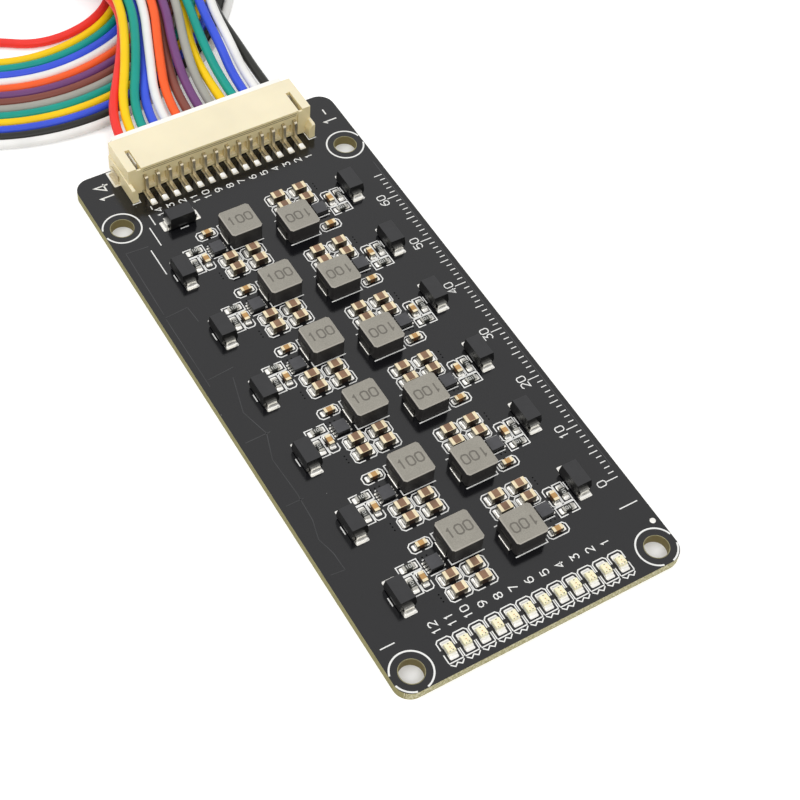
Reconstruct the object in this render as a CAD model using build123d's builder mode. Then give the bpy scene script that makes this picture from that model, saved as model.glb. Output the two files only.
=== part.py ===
from build123d import *
import math
import os

os.makedirs("parts", exist_ok=True)

# Circuit board: X across, Y along with the header at +Y, underside at Z = 0
board_width = 45.0
board_length = 100.0
board_thickness = 1.6
board_corner_radius = 2.5
hole_diameter = 3.5
hole_inset_side = 3.0
hole_inset_led_end = 3.0
hole_inset_header_end = 11.7
layout_x = 0.1  # the parts sit a little to the right of the board's middle

# Pin header, side entry, and the pins in it
pin_count = 14
pin_pitch = 2.0
pin_size = 0.5
pin_height = 3.3  # middle of the straight pin above the board
pin_bend_radius = 0.4
pin_hole_clearance = 0.05
pin_bend_gap = 0.3  # from the rear wall to the pin's upright
pin_foot_length = 1.85
pin_tip_depth = 2.1  # from the header's open face back to the pin's tip
header_overhang = 0.6
header_height = 5.5
header_depth = 6.8  # open face to rear wall
header_end_margin = 2.95  # from the last pin's middle to the header's end
header_top_wall = 0.6
header_floor = 0.5
header_rear_wall = 1.2
header_floor_gap = 0.15
header_lip_depth = 0.35
header_lip_height = 0.55
header_end_wall = 1.0
header_end_block = 1.4
header_end_inset = 0.15
header_end_rise = 0.25
header_ledge_height = 2.8
header_ledge_chamfer = 0.2
rear_pocket_width = 1.3  # shallow pockets in the rear wall between the pins
rear_pocket_height = 1.9
rear_pocket_depth = 0.7
rear_pocket_start = 0.65  # from the housing's underside
leg_reach = 1.7  # how far the legs stand out from the rear wall
leg_slope_width = 0.5  # slope along the inner top of each leg
leg_slope_height = 1.2
slot_width = 0.75
slot_length = 3.9
slot_start = 0.1
slot_notch_depth = 0.45  # step down in the wall at the slot's near end
tab_thickness = 0.2
tab_length = 2.4
tab_height = 1.6
tab_foot = 0.75
tab_setback = 1.3

# Plug on the harness and its crimp sleeves
plug_clearance = 0.1
plug_gap = 0.2  # from the header's rear wall to the plug's nose
plug_rise = 1.5  # how far the plug stands out of the header
plug_shoulder_width = 1.05  # the plug's ends step down under the header's slots
plug_shoulder_drop = 2.4
plug_corner = 0.3
sleeve_size = 1.2
sleeve_bore = 0.8
sleeve_clearance = 0.05
sleeve_nose_gap = 0.5
wire_pocket_depth = 2.1
wire_pocket_clearance = 0.1

# One balancing cell, measured from the point that its left and right copies turn about
cell_rows = 6
cell_pitch = 12.54
first_cell_y = 27.8

inductor_x = -4.1
inductor_y = 1.6
inductor_width = 5.1
inductor_length = 5.2
inductor_height = 3.0
inductor_corner = 0.35
inductor_top_edge = 0.15
inductor_foot_thickness = 0.1
inductor_strip_thickness = 0.15
inductor_strip_width = 2.5
inductor_strip_height = 1.55
inductor_foot_length = 1.2

controller_x = -8.8
controller_y = 0.1
controller_size = 2.0
controller_height = 0.75
controller_lead_count = 4
controller_lead_pitch = 0.5
controller_lead_width = 0.26
controller_lead_thickness = 0.1
controller_lead_reach = 0.3
controller_lead_under = 0.3

large_cap_length = 2.0
large_cap_width = 1.3
large_cap_height = 1.25
large_cap_end = 0.5
large_cap_left_x = -8.0
large_cap_right_x = -4.2
large_cap_near_y = -5.0
large_cap_far_y = -2.7

small_cap_length = 1.6
small_cap_width = 0.8
small_cap_height = 0.8
small_cap_end = 0.4
supply_cap_x = -8.8
supply_cap_y = 3.45
filter_cap_x = -11.3
filter_cap_y = -1.15

resistor_length = 1.6
resistor_width = 0.8
resistor_height = 0.45
resistor_end = 0.3
upper_resistor_x = -12.1
upper_resistor_y = 1.2
lower_resistor_x = -13.0
lower_resistor_y = -1.35

# Protection diodes: one in each cell and one turned across the board by the header
diode_width = 2.6
diode_length = 4.3
diode_height = 2.3
diode_draft = 7
diode_lead_width = 1.5
diode_lead_thickness = 0.2
diode_lead_reach = 0.35
diode_lead_rise = 1.05
diode_foot_length = 1.3
diode_standoff = 0.02
diode_x = -15.4
diode_y = -2.05
end_diode_x = -11.05
end_diode_y = 35.7

# Row of indicator lights
led_count = 12
led_pitch = 2.475
led_row_inset = 3.3
led_width = 1.25
led_length = 2.0
led_base_height = 0.35
led_lens_height = 0.45
led_lens_draft = 6
led_end = 0.3

# Harness wires, from the left of the plug to its right
wire_diameter = 1.5
wire_colours = (
    "red", "yellow", "green", "blue", "white", "orange", "brown",
    "purple", "grey", "yellow", "green", "blue", "white", "black",
)
lower_wires = (0, 3, 6, 9, 13)  # under the others where the bundle lies two deep
lane_order = (0, 1, 2, 3, 4, 5, 7, 6, 8, 10, 9, 11, 13, 12)
lane_pitch = 1.6
bend_lane_pitch = 1.65
wire_rest_gap = 0.05
bridge_level = 5.3  # middle of the lower wires where the bundle passes over its own loop
stack_step = 1.7
landing_level = 5.6
gather_seats = (-10.4, -9.35, -7.65, -6.45, -5.65, -4.15, -3.0, -1.8, 0.1, 1.45, 3.2, 5.75, 7.5, 9.35)
bunch_seats = (-7.25, -7.45, -5.7, -4.75, -3.85, -2.1, -1.2, -0.35, 1.55, 2.4, 3.3, 5.05, 6.8, 7.5)

# Heights and faces that several parts share
board_top = board_thickness
header_face_y = board_length / 2 + header_overhang
rear_wall_y = header_face_y - header_depth
pin_level = board_top + pin_height
pin_row_x = [layout_x + (i - (pin_count - 1) / 2) * pin_pitch for i in range(pin_count)]
header_width = (pin_count - 1) * pin_pitch + 2 * header_end_margin
cavity_half_width = header_width / 2 - header_end_wall
cavity_bottom = board_top + header_floor
cavity_top = board_top + header_height - header_top_wall
cavity_start_y = rear_wall_y + header_rear_wall
plug_start_y = cavity_start_y + plug_gap
plug_end_y = header_face_y + plug_rise
sleeve_end_y = plug_end_y - wire_pocket_depth


def cell_places():
    """The frame of every cell: left and right in turn, from the header down."""
    places = []
    for row in range(cell_rows):
        origin = (layout_x, first_cell_y - row * cell_pitch, board_top)
        places.append(Location(origin))
        places.append(Location(origin, (0, 0, 180)))
    return places


def in_cells(*spots):
    """Places of a part that stands at the given spots of every cell."""
    return [cell * spot for cell in cell_places() for spot in spots]


# Board with four mounting holes
hole_y_top = board_length / 2 - hole_inset_header_end
hole_y_bottom = -board_length / 2 + hole_inset_led_end
hole_x = board_width / 2 - hole_inset_side

with BuildPart() as circuit_board:
    with BuildSketch():
        RectangleRounded(board_width, board_length, board_corner_radius)
        with Locations((-hole_x, hole_y_top), (hole_x, hole_y_top),
                       (-hole_x, hole_y_bottom), (hole_x, hole_y_bottom)):
            Circle(hole_diameter / 2, mode=Mode.SUBTRACT)
    extrude(amount=board_thickness)
circuit_board.part.label = "circuit_board"
export_step(circuit_board.part, "parts/circuit_board.step")

# Header housing: a long trough open at +Y, with stepped ends and two legs
slot_outer_x = header_width / 2 - header_end_inset - header_end_block
slot_inner_x = slot_outer_x - slot_width
housing_bottom = board_top + header_floor_gap
housing_top = board_top + header_height
lip_y = rear_wall_y - header_lip_depth
lip_bottom = housing_top - header_lip_height
half_lip_y = rear_wall_y - header_lip_depth / 2
pocket_level = housing_bottom + rear_pocket_start + rear_pocket_height / 2
leg_inner_x = layout_x + header_width / 2 - header_end_wall
leg_top = board_top + header_ledge_height

with BuildPart() as header_housing:
    with BuildSketch(Plane.YZ.offset(layout_x)):
        with BuildLine():
            Polyline(
                (header_face_y, housing_bottom),
                (rear_wall_y, housing_bottom),
                (rear_wall_y, lip_bottom - header_lip_height),
                (half_lip_y, lip_bottom - header_lip_height),
                (half_lip_y, lip_bottom),
                (lip_y, lip_bottom),
                (lip_y, housing_top),
                (header_face_y, housing_top),
                close=True,
            )
        make_face()
    extrude(amount=slot_inner_x, both=True)
    with BuildSketch(Plane.XZ.offset(-(rear_wall_y - header_end_rise))):
        with BuildLine():
            Polyline(
                (layout_x - header_width / 2 + header_end_inset, housing_bottom),
                (layout_x - header_width / 2 + header_end_inset, housing_top),
                (layout_x + header_width / 2 - header_end_inset, housing_top),
                (layout_x + header_width / 2 - header_end_inset, housing_bottom),
                close=True,
            )
        make_face()
        with Locations((layout_x, (housing_bottom + housing_top) / 2)):
            Rectangle(2 * slot_inner_x, 2 * header_height, mode=Mode.SUBTRACT)
    extrude(amount=-(header_depth + header_end_rise))
    with BuildSketch(Plane.YZ.offset(layout_x - header_width / 2),
                     Plane.YZ.offset(layout_x + header_width / 2 - header_end_wall)):
        with BuildLine():
            Polyline(
                (header_face_y, board_top),
                (rear_wall_y - leg_reach, board_top),
                (rear_wall_y - leg_reach, board_top + header_ledge_height - header_ledge_chamfer),
                (rear_wall_y - leg_reach + header_ledge_chamfer, board_top + header_ledge_height),
                (header_face_y, board_top + header_ledge_height),
                close=True,
            )
        make_face()
    extrude(amount=header_end_wall)
    with BuildSketch(Plane.XY.offset(board_top + header_height)):
        for side in (-1, 1):
            with Locations((layout_x + side * (slot_inner_x + slot_outer_x) / 2,
                            rear_wall_y + slot_start + slot_length / 2)):
                Rectangle(slot_width, slot_length)
    extrude(amount=-(header_height - header_floor - header_floor_gap), mode=Mode.SUBTRACT)
    with BuildSketch(Plane.XY.offset(board_top + header_height)):
        for side in (-1, 1):
            with Locations((layout_x + side * (slot_inner_x + slot_outer_x) / 2, rear_wall_y)):
                Rectangle(slot_width, 2 * (slot_start + header_end_rise))
    extrude(amount=-slot_notch_depth, mode=Mode.SUBTRACT)
    with BuildSketch(Plane.XZ.offset(-(rear_wall_y - header_end_rise))):
        with BuildLine():
            Polyline(
                (leg_inner_x, leg_top - leg_slope_height),
                (leg_inner_x, leg_top),
                (leg_inner_x + leg_slope_width, leg_top),
                close=True,
            )
        make_face()
        mirror(about=Plane.YZ.offset(layout_x))
    extrude(amount=leg_reach, mode=Mode.SUBTRACT)
    with BuildSketch(Plane.XZ.offset(-cavity_start_y)):
        with Locations((layout_x, (cavity_bottom + cavity_top) / 2)):
            Rectangle(2 * cavity_half_width, cavity_top - cavity_bottom)
    extrude(amount=-(header_depth - header_rear_wall), mode=Mode.SUBTRACT)
    with BuildSketch(Plane.XZ.offset(-rear_wall_y)):
        with Locations(*[(x, pin_level) for x in pin_row_x]):
            Rectangle(pin_size + 2 * pin_hole_clearance, pin_size + 2 * pin_hole_clearance)
    extrude(amount=-header_rear_wall, mode=Mode.SUBTRACT)
    with BuildSketch(Plane.XZ.offset(-rear_wall_y)):
        with Locations(*[(x + pin_pitch / 2, pocket_level) for x in pin_row_x[:-1]]):
            Rectangle(rear_pocket_width, rear_pocket_height)
    extrude(amount=-rear_pocket_depth, mode=Mode.SUBTRACT)
header_housing.part.label = "header_housing"
export_step(header_housing.part, "parts/header_housing.step")

# Header pins: straight in the trough, bent down behind it, with a foot on the board
pin_tip_y = header_face_y - pin_tip_depth
upright_y = rear_wall_y - pin_bend_gap - pin_size
foot_end_y = upright_y + pin_size / 2 - pin_foot_length

with BuildPart() as bent_pin:
    with BuildSketch(Plane.YZ) as pin_side:
        with BuildLine():
            Polyline(
                (pin_tip_y, pin_level + pin_size / 2),
                (upright_y, pin_level + pin_size / 2),
                (upright_y, board_top + pin_size),
                (foot_end_y, board_top + pin_size),
                (foot_end_y, board_top),
                (upright_y + pin_size, board_top),
                (upright_y + pin_size, pin_level - pin_size / 2),
                (pin_tip_y, pin_level - pin_size / 2),
                close=True,
            )
        make_face()
        upper_bend = pin_side.vertices().sort_by_distance((upright_y, pin_level + pin_size / 2))[0]
        lower_bend = pin_side.vertices().sort_by_distance((upright_y + pin_size, board_top))[0]
        fillet([upper_bend, lower_bend], pin_bend_radius)
    extrude(amount=pin_size / 2, both=True)

with BuildPart() as header_pins:
    with Locations(*[(x, 0, 0) for x in pin_row_x]):
        add(bent_pin.part)
header_pins.part.label = "header_pins"
export_step(header_pins.part, "parts/header_pins.step")

# Solder tabs: a bent plate on each end of the header, soldered to the board
tab_x = header_width / 2
tab_y = header_face_y - tab_setback - tab_length

with BuildPart() as header_solder_tabs:
    with BuildSketch(Plane.XZ.offset(-tab_y)):
        with BuildLine():
            Polyline(
                (layout_x + tab_x, board_top),
                (layout_x + tab_x + tab_foot, board_top),
                (layout_x + tab_x + tab_foot, board_top + tab_thickness),
                (layout_x + tab_x + tab_thickness, board_top + tab_thickness),
                (layout_x + tab_x + tab_thickness, board_top + tab_height),
                (layout_x + tab_x, board_top + tab_height),
                close=True,
            )
        make_face()
        mirror(about=Plane.YZ.offset(layout_x))
    extrude(amount=-tab_length)
header_solder_tabs.part.label = "header_solder_tabs"
export_step(header_solder_tabs.part, "parts/header_solder_tabs.step")

# Plug: a block that fills the trough, with a way for each sleeve and a wider pocket for its wire
plug_bottom = cavity_bottom + plug_clearance
plug_top = cavity_top - plug_clearance
plug_half_width = cavity_half_width - plug_clearance
shoulder_end_y = rear_wall_y + slot_start + slot_length + plug_gap
sleeve_way = sleeve_size + 2 * sleeve_clearance
wire_pocket = wire_diameter + 2 * wire_pocket_clearance

with BuildPart() as plug_housing:
    with BuildSketch(Plane.XZ.offset(-plug_start_y)):
        with Locations((layout_x, (plug_bottom + plug_top) / 2)):
            RectangleRounded(2 * plug_half_width, plug_top - plug_bottom, plug_corner)
        with Locations(*[(x, pin_level) for x in pin_row_x]):
            Rectangle(sleeve_way, sleeve_way, mode=Mode.SUBTRACT)
    extrude(amount=-(plug_end_y - plug_start_y))
    with BuildSketch(Plane.XZ.offset(-sleeve_end_y)):
        with Locations(*[(x, pin_level) for x in pin_row_x]):
            Rectangle(wire_pocket, wire_pocket)
    extrude(amount=-wire_pocket_depth, mode=Mode.SUBTRACT)
    with BuildSketch(Plane.XZ.offset(-plug_start_y)):
        for side in (-1, 1):
            with Locations((layout_x + side * (plug_half_width - plug_shoulder_width / 2),
                            plug_top - plug_shoulder_drop / 2)):
                Rectangle(plug_shoulder_width, plug_shoulder_drop)
    extrude(amount=-(shoulder_end_y - plug_start_y), mode=Mode.SUBTRACT)
plug_housing.part.label = "plug_housing"
export_step(plug_housing.part, "parts/plug_housing.step")

# Crimp sleeves in the plug, one on each pin
with BuildPart() as plug_terminals:
    with BuildSketch(Plane.XZ.offset(-(plug_start_y + sleeve_nose_gap))):
        with Locations(*[(x, pin_level) for x in pin_row_x]):
            Rectangle(sleeve_size, sleeve_size)
            Rectangle(sleeve_bore, sleeve_bore, mode=Mode.SUBTRACT)
    extrude(amount=-(sleeve_end_y - plug_start_y - sleeve_nose_gap))
plug_terminals.part.label = "plug_terminals"
export_step(plug_terminals.part, "parts/plug_terminals.step")

# Power inductors: a moulded block with a metal strip up two sides
with BuildPart() as inductor_block:
    with BuildSketch(Plane.XY.offset(inductor_foot_thickness)) as inductor_outline:
        Rectangle(inductor_width, inductor_length)
        chamfer(inductor_outline.vertices(), inductor_corner)
    extrude(amount=inductor_height - inductor_foot_thickness)
    chamfer(inductor_block.faces().sort_by(Axis.Z)[-1].edges(), inductor_top_edge)

for number, place in enumerate(in_cells(Location((inductor_x, inductor_y, 0))), start=1):
    with BuildPart() as inductor:
        with Locations(place):
            add(inductor_block.part)
    name = f"inductor_{number:02d}"
    inductor.part.label = name
    export_step(inductor.part, f"parts/{name}.step")

with BuildPart() as inductor_strips:
    with BuildSketch(Plane.XZ.offset(-inductor_strip_width / 2)):
        with BuildLine():
            Polyline(
                (inductor_width / 2 - inductor_foot_length, 0),
                (inductor_width / 2 + inductor_strip_thickness, 0),
                (inductor_width / 2 + inductor_strip_thickness, inductor_strip_height),
                (inductor_width / 2, inductor_strip_height),
                (inductor_width / 2, inductor_foot_thickness),
                (inductor_width / 2 - inductor_foot_length, inductor_foot_thickness),
                close=True,
            )
        make_face()
        mirror(about=Plane.YZ)
    extrude(amount=inductor_strip_width)

with BuildPart() as inductor_terminals:
    with Locations(*in_cells(Location((inductor_x, inductor_y, 0)))):
        add(inductor_strips.part)
inductor_terminals.part.label = "inductor_terminals"
export_step(inductor_terminals.part, "parts/inductor_terminals.step")

# Controller chips with flat leads under two sides
for number, place in enumerate(in_cells(Location((controller_x, controller_y, 0))), start=1):
    with BuildPart() as controller:
        with BuildSketch(Plane(place).offset(controller_lead_thickness)):
            Rectangle(controller_size, controller_size)
        extrude(amount=controller_height)
    name = f"controller_{number:02d}"
    controller.part.label = name
    export_step(controller.part, f"parts/{name}.step")

lead_length = controller_lead_under + controller_lead_reach
lead_middle = controller_size / 2 - controller_lead_under + lead_length / 2

with BuildPart() as controller_leads:
    with Locations(*in_cells(Location((controller_x, controller_y, controller_lead_thickness / 2)))):
        with GridLocations(2 * lead_middle, controller_lead_pitch, 2, controller_lead_count):
            Box(lead_length, controller_lead_width, controller_lead_thickness)
controller_leads.part.label = "controller_leads"
export_step(controller_leads.part, "parts/controller_leads.step")


def chip_body(length, width, height, end):
    """The middle of a chip part, between its metal ends, along X on the board."""
    with BuildPart() as body:
        Box(length - 2 * end, width, height, align=(Align.CENTER, Align.CENTER, Align.MIN))
    return body.part


def chip_ends(length, width, height, end):
    """The two metal ends of a chip part."""
    with BuildPart() as ends:
        with GridLocations(length - end, 0, 2, 1):
            Box(end, width, height, align=(Align.CENTER, Align.CENTER, Align.MIN))
    return ends.part


large_cap_spots = [
    Location((large_cap_left_x, large_cap_near_y, 0)),
    Location((large_cap_left_x, large_cap_far_y, 0)),
    Location((large_cap_right_x, large_cap_near_y, 0)),
    Location((large_cap_right_x, large_cap_far_y, 0)),
]
small_cap_spots = [
    Location((supply_cap_x, supply_cap_y, 0)),
    Location((filter_cap_x, filter_cap_y, 0), (0, 0, 90)),
]
resistor_spots = [
    Location((upper_resistor_x, upper_resistor_y, 0)),
    Location((lower_resistor_x, lower_resistor_y, 0), (0, 0, 90)),
]
chip_kinds = {
    "large_capacitor": (large_cap_length, large_cap_width, large_cap_height, large_cap_end),
    "small_capacitor": (small_cap_length, small_cap_width, small_cap_height, small_cap_end),
    "resistor": (resistor_length, resistor_width, resistor_height, resistor_end),
}
chip_spots = {
    "large_capacitor": large_cap_spots,
    "small_capacitor": small_cap_spots,
    "resistor": resistor_spots,
}

# Chip capacitors and resistors: bodies and metal ends of each kind
for kind, sizes in chip_kinds.items():
    for piece, single in (("bodies", chip_body(*sizes)), ("ends", chip_ends(*sizes))):
        with BuildPart() as chips:
            with Locations(*in_cells(*chip_spots[kind])):
                add(single)
        name = f"{kind}_{piece}"
        chips.part.label = name
        export_step(chips.part, f"parts/{name}.step")

# Protection diodes: a moulded block drafted both ways from its leads' level
diode_places = in_cells(Location((diode_x, diode_y, 0)))
diode_places.append(Location((end_diode_x, end_diode_y, board_top), (0, 0, 90)))
diode_bottom = diode_lead_thickness + diode_standoff
lead_underside = diode_lead_rise - diode_lead_thickness

with BuildPart() as diode_block:
    with BuildSketch(Plane.XY.offset(lead_underside)):
        Rectangle(diode_width, diode_length)
    extrude(amount=diode_lead_thickness)
    with BuildSketch(Plane.XY.offset(diode_lead_rise)):
        Rectangle(diode_width, diode_length)
    extrude(amount=diode_height - diode_lead_rise, taper=diode_draft)
    with BuildSketch(Plane.XY.offset(lead_underside)):
        Rectangle(diode_width, diode_length)
    extrude(amount=-(lead_underside - diode_bottom), taper=diode_draft)

with BuildPart() as diode_bodies:
    with Locations(*diode_places):
        add(diode_block.part)
diode_bodies.part.label = "diode_bodies"
export_step(diode_bodies.part, "parts/diode_bodies.step")

lead_outer = diode_length / 2 + diode_lead_reach

with BuildPart() as diode_lead_pair:
    with BuildSketch(Plane.YZ):
        with BuildLine():
            Polyline(
                (diode_length / 2, diode_lead_rise),
                (lead_outer, diode_lead_rise),
                (lead_outer, 0),
                (lead_outer - diode_foot_length, 0),
                (lead_outer - diode_foot_length, diode_lead_thickness),
                (lead_outer - diode_lead_thickness, diode_lead_thickness),
                (lead_outer - diode_lead_thickness, lead_underside),
                (diode_length / 2, lead_underside),
                close=True,
            )
        make_face()
        mirror(about=Plane.YZ)
    extrude(amount=diode_lead_width / 2, both=True)

with BuildPart() as diode_leads:
    with Locations(*diode_places):
        add(diode_lead_pair.part)
diode_leads.part.label = "diode_leads"
export_step(diode_leads.part, "parts/diode_leads.step")

# Indicator lights: a white base, a resin lens on it and a metal end each way
led_row_y = -board_length / 2 + led_row_inset
led_places = [
    Location(((i - (led_count - 1) / 2) * led_pitch, led_row_y, board_top), (0, 0, 90))
    for i in range(led_count)
]
led_base = chip_body(led_length, led_width, led_base_height, led_end)
led_metal = chip_ends(led_length, led_width, led_base_height, led_end)

with BuildPart() as led_bases:
    with Locations(*led_places):
        add(led_base)
led_bases.part.label = "led_bases"
export_step(led_bases.part, "parts/led_bases.step")

with BuildPart() as led_ends:
    with Locations(*led_places):
        add(led_metal)
led_ends.part.label = "led_ends"
export_step(led_ends.part, "parts/led_ends.step")

with BuildPart() as led_lenses:
    with BuildSketch(*[Plane(place).offset(led_base_height) for place in led_places]):
        Rectangle(led_length - 2 * led_end, led_width)
    extrude(amount=led_lens_height, taper=led_lens_draft)
led_lenses.part.label = "led_lenses"
export_step(led_lenses.part, "parts/led_lenses.step")

# Harness wires: each follows the middle line of the bundle at its own seat across it
rest_level = wire_diameter / 2 + wire_rest_gap
upper_level = bridge_level + stack_step


def spaced_seats(pitch):
    """Seats of the wires in the order of their pins, right of the middle line."""
    return [(i - (pin_count - 1) / 2) * pitch for i in range(pin_count)]


def lane_seats(pitch, first_out=0.0):
    """Seats in the flat loop, with the first wire lying that much further out."""
    seats = [(lane_order.index(i) - (pin_count - 1) / 2) * pitch for i in range(pin_count)]
    seats[0] -= first_out
    return seats


# Middle line: x, y, heading in degrees, seats across, height of the upper wires, of the lower
wire_stations = (
    (layout_x, sleeve_end_y, 90, spaced_seats(pin_pitch), pin_level, pin_level),
    (layout_x, 56.4, 90, spaced_seats(pin_pitch), pin_level, pin_level),
    (4.3, 64.6, 73, gather_seats, upper_level, bridge_level),
    (6.8, 76.0, 66, bunch_seats, upper_level, bridge_level),
    (8.6, 89.0, 92, lane_seats(lane_pitch), upper_level, bridge_level),
    (5.0, 104.0, 112, lane_seats(bend_lane_pitch), landing_level, landing_level),
    (-6.0, 117.2, 150, lane_seats(bend_lane_pitch), rest_level, rest_level),
    (-22.2, 120.0, 190, lane_seats(bend_lane_pitch), rest_level, rest_level),
    (-36.4, 111.8, 230, lane_seats(bend_lane_pitch), rest_level, rest_level),
    (-42.5, 96.0, 270, lane_seats(bend_lane_pitch), rest_level, rest_level),
    (-38.0, 81.6, 306, lane_seats(bend_lane_pitch, 1.5), rest_level, rest_level),
    (-26.0, 72.5, 342, lane_seats(lane_pitch, 4.5), rest_level, rest_level),
    (-11.7, 70.0, 367, lane_seats(lane_pitch, 1.0), rest_level, rest_level),
    (4.2, 74.9, 394, lane_seats(lane_pitch), rest_level, rest_level),
    (14.0, 87.5, 420, lane_seats(lane_pitch), rest_level, rest_level),
    (19.5, 97.0, 420, lane_seats(lane_pitch), rest_level, rest_level),
)


def wire_points(i):
    """Corner points of one wire's middle line, from its sleeve to its free end."""
    points = []
    for x, y, heading, seats, upper, lower in wire_stations:
        across = math.radians(heading - 90)
        height = lower if i in lower_wires else upper
        points.append(Vector(x + seats[i] * math.cos(across), y + seats[i] * math.sin(across), height))
    return points


def bend_radii(points):
    """Radius at each inner point, so that an arc takes 0.45 of the shorter run beside it."""
    radii = []
    for before, here, after in zip(points, points[1:], points[2:]):
        half_turn = math.radians((here - before).get_angle(after - here)) / 2
        shorter_run = min((here - before).length, (after - here).length)
        radii.append(0.45 * shorter_run / math.tan(half_turn))
    return radii


for i, colour in enumerate(wire_colours):
    points = wire_points(i)
    radii = bend_radii(points)
    with BuildPart() as wire:
        with BuildLine() as wire_line:
            FilletPolyline(*points, radius=radii)
        with BuildSketch(Plane(wire_line.line @ 0, z_dir=wire_line.line % 0)):
            Circle(wire_diameter / 2)
        sweep()
    name = f"wire_{i + 1:02d}_{colour}"
    wire.part.label = name
    export_step(wire.part, f"parts/{name}.step")
    length = sum(edge.length for edge in wire_line.edges())
    tube_volume = math.pi * wire_diameter**2 / 4 * length
    print(f"{name}: {length:.1f} mm, bends {', '.join(f'{r:.0f}' for r in radii)} mm,",
          f"volume {wire.part.volume:.1f} of {tube_volume:.1f} mm3")
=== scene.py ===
"""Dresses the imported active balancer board: print, solder, finishes, harness wires and the studio stage."""
import math

import bpy
from bpy.props import FloatProperty, FloatVectorProperty, PointerProperty
from mathutils import Matrix, Vector


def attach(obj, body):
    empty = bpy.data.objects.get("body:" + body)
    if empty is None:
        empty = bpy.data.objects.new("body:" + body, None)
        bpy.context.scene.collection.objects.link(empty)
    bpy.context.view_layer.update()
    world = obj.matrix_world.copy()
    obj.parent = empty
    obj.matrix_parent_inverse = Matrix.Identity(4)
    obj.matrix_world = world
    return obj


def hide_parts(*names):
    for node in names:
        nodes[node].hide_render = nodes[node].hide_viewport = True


bl_info = {
    "name": "Active balancer board",
    "version": (1, 0, 0),
    "blender": (4, 5, 0),
    "location": "3D View > Sidebar > Balancer",
    "description": "Adds print, solder, finishes and the wire harness to the solids of a balancer board",
    "category": "Object",
}

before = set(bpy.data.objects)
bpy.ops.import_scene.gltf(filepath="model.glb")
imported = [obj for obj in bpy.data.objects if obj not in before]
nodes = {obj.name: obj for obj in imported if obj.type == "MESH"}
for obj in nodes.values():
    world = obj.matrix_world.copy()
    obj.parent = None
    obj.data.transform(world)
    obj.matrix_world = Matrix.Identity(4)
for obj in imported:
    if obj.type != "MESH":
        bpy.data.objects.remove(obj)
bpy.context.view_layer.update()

MM = 0.001

# Places and sizes in millimetres, the same as the solids'
BOARD_TOP = 1.6
HALF_BOARD_WIDTH = 22.5
HALF_BOARD_LENGTH = 50.0
HOLES = ((-19.5, 38.3), (19.5, 38.3), (-19.5, -47.0), (19.5, -47.0))
HOLE_RADIUS = 1.75
LAYOUT_X = 0.1
PIN_COUNT = 14
PIN_PITCH = 2.0
LIGHT_COUNT = 12
LIGHT_PITCH = 2.475
LIGHT_Y = -46.7
LIGHT_HEIGHT = 0.8
CELL_ROWS = 6
FIRST_CELL_Y = 27.8
CELL_PITCH = 12.54
# Inside a cell: spot, and turn where parts differ, of each kind of part
LARGE_CAPACITORS = ((-8.0, -5.0), (-8.0, -2.7), (-4.2, -5.0), (-4.2, -2.7))
LARGE_CAPACITOR_HEIGHT = 1.25
SMALL_CAPACITORS = ((-8.8, 3.45, 0), (-11.3, -1.15, 90))
RESISTORS = ((-12.1, 1.2, 0), (-13.0, -1.35, 90))
RESISTOR_HEIGHT = 0.45
INDUCTOR_HEIGHT = 3.0


def from_middle(i, count):
    """How many steps a member of a row lies to the right of the row's middle."""
    return i - (count - 1) / 2


def pin_x(i):
    """Middle of a header pin, counted from the left."""
    return LAYOUT_X + from_middle(i, PIN_COUNT) * PIN_PITCH


def light_x(i):
    """Middle of an indicator light, counted from the left."""
    return from_middle(i, LIGHT_COUNT) * LIGHT_PITCH


def srgb(hex_colour):
    """Linear colour of an sRGB hex value."""
    values = [int(hex_colour[i:i + 2], 16) / 255 for i in (1, 3, 5)]
    return tuple(v / 12.92 if v <= 0.04045 else ((v + 0.055) / 1.055) ** 2.4 for v in values)


# ---- mesh building, in millimetres ----


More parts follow.
